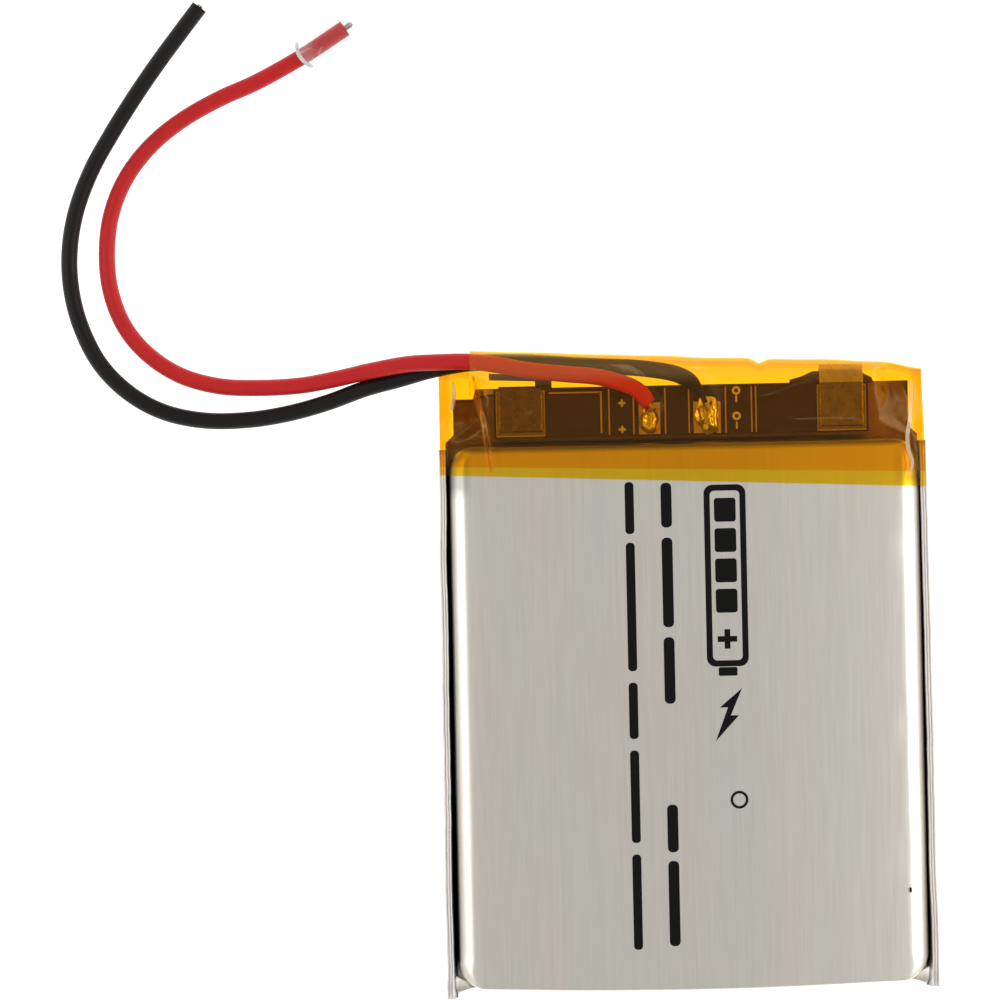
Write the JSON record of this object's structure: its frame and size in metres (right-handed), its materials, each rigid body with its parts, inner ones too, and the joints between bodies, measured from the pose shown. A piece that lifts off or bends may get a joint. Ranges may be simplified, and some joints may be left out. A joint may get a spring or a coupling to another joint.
{
  "type": "pouch battery cell",
  "caption": "Flat silver pouch cell with a protection board under amber tape at one end and red and black leads with bare ends.",
  "frame": {"origin": "under the middle of the cell, on the surface that it lies on, leads left out of the middle", "axes": "+X across the cell, +Y along it towards the terminals, +Z out of the drawn face"},
  "size_m": [0.0599, 0.0696, 0.0047],
  "materials": {
    "laminate": "drawn aluminium-plastic film with a fine lengthwise grain, satin",
    "laminate_seal": "heat-sealed film, folded twice, with bright creased edges",
    "polyimide_tape": "clear amber film, glossy and creased, darker where layers overlap",
    "board_mask": "black solder mask, semi-gloss",
    "gold_plate": "thin gold plate over copper",
    "nickel": "rolled nickel strip, satin, with weld dimples",
    "aluminium_tab": "soft aluminium strip, satin",
    "solder": "bright solder with a rippled dome",
    "tinned_copper": "tinned copper strands",
    "insulation_red": "red PVC, satin",
    "insulation_black": "black PVC, satin",
    "clear_sleeve": "clear thin tube",
    "cathode_coating": "dark grey powder coating on aluminium foil",
    "anode_coating": "black graphite coating on copper foil",
    "separator_film": "white porous film",
    "roll_tape": "thin green polyester tape",
    "sealant": "pale polypropylene film",
    "fish_paper": "grey-green insulating paper",
    "epoxy_mould": "black moulding compound",
    "chip_ceramic": "sintered ceramic",
    "ink": "black pad-printed ink"
  },
  "bodies": {
    "root": {"pouch_front": "laminate", "pouch_back": "laminate", "side_fold_left": "laminate_seal", "side_fold_right": "laminate_seal", "cathode_strip": "cathode_coating", "anode_strip": "anode_coating", "separator_inner": "separator_film", "separator_outer": "separator_film", "roll_tape": "roll_tape", "positive_tab": "aluminium_tab", "negative_tab": "nickel", "positive_tab_film": "sealant", "negative_tab_film": "sealant", "terrace_insulator": "fish_paper", "circuit_board": "board_mask", "board_pads": "gold_plate", "board_traces": "gold_plate", "nickel_strip_positive": "nickel", "nickel_strip_negative": "nickel", "protection_ic": "epoxy_mould", "protection_ic_leads": "tinned_copper", "dual_mosfet": "epoxy_mould", "dual_mosfet_leads": "tinned_copper", "supply_resistor": "chip_ceramic", "sense_resistor": "chip_ceramic", "filter_capacitor": "chip_ceramic", "solder_positive": "solder", "solder_negative": "solder", "core_joint_red": "tinned_copper", "core_joint_black": "tinned_copper", "lead_red": "insulation_red", "lead_black": "insulation_black", "core_tip_red": "tinned_copper", "core_tip_black": "tinned_copper", "red_end_sleeve": "clear_sleeve", "tape_inner": "polyimide_tape", "tape_outer": "polyimide_tape"}
  },
  "joints": []
}
